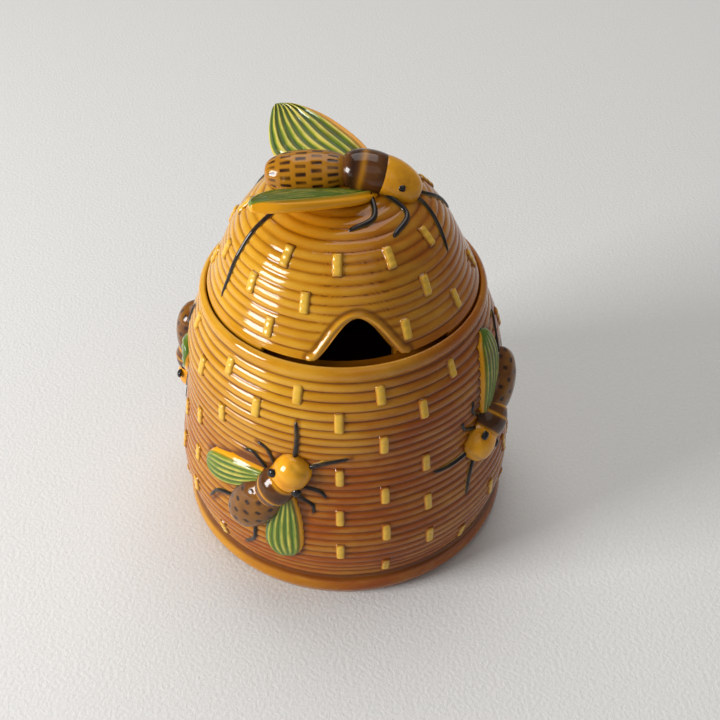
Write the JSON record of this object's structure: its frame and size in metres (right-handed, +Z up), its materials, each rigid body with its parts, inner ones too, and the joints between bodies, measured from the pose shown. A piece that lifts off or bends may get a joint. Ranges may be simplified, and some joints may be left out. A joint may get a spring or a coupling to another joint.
{
  "type": "honey pot",
  "caption": "Glazed honey pot shaped like a coiled straw hive, with relief bees, a loose domed lid, a bee handle and a spoon notch in the lid's rim",
  "frame": {"origin": "centre of the base, on the plane the foot stands on", "axes": "+Z up through the pot and lid; the lid's spoon notch faces -Y; +X is to the right seen from the notch side"},
  "size_m": [0.1001, 0.1002, 0.1193],
  "materials": {
    "honey_glaze": "gloss",
    "umber_glaze": "gloss",
    "amber_glaze": "gloss",
    "leaf_glaze": "gloss",
    "black_glaze": "gloss"
  },
  "bodies": {
    "pot": {"pot_body": "honey_glaze", "bee_front_body": "umber_glaze", "bee_front_head": "amber_glaze", "bee_front_wings": "leaf_glaze", "bee_front_legs": "black_glaze", "bee_right_body": "umber_glaze", "bee_right_head": "amber_glaze", "bee_right_wings": "leaf_glaze", "bee_right_legs": "black_glaze", "bee_left_body": "umber_glaze", "bee_left_head": "amber_glaze", "bee_left_wings": "leaf_glaze", "bee_left_legs": "black_glaze", "bee_back_body": "umber_glaze", "bee_back_head": "amber_glaze", "bee_back_wings": "leaf_glaze", "bee_back_legs": "black_glaze"},
    "lid": {"lid_dome": "honey_glaze", "finial_abdomen": "umber_glaze", "finial_thorax": "umber_glaze", "finial_head": "amber_glaze", "finial_wing_left": "leaf_glaze", "finial_wing_right": "leaf_glaze", "finial_legs": "black_glaze", "finial_feelers": "black_glaze"}
  },
  "joints": [
    {"name": "lid_lift", "type": "slide", "parent": "pot", "child": "lid", "axis": [0, 0, 1], "range_m": [0, 0.06]}
  ]
}
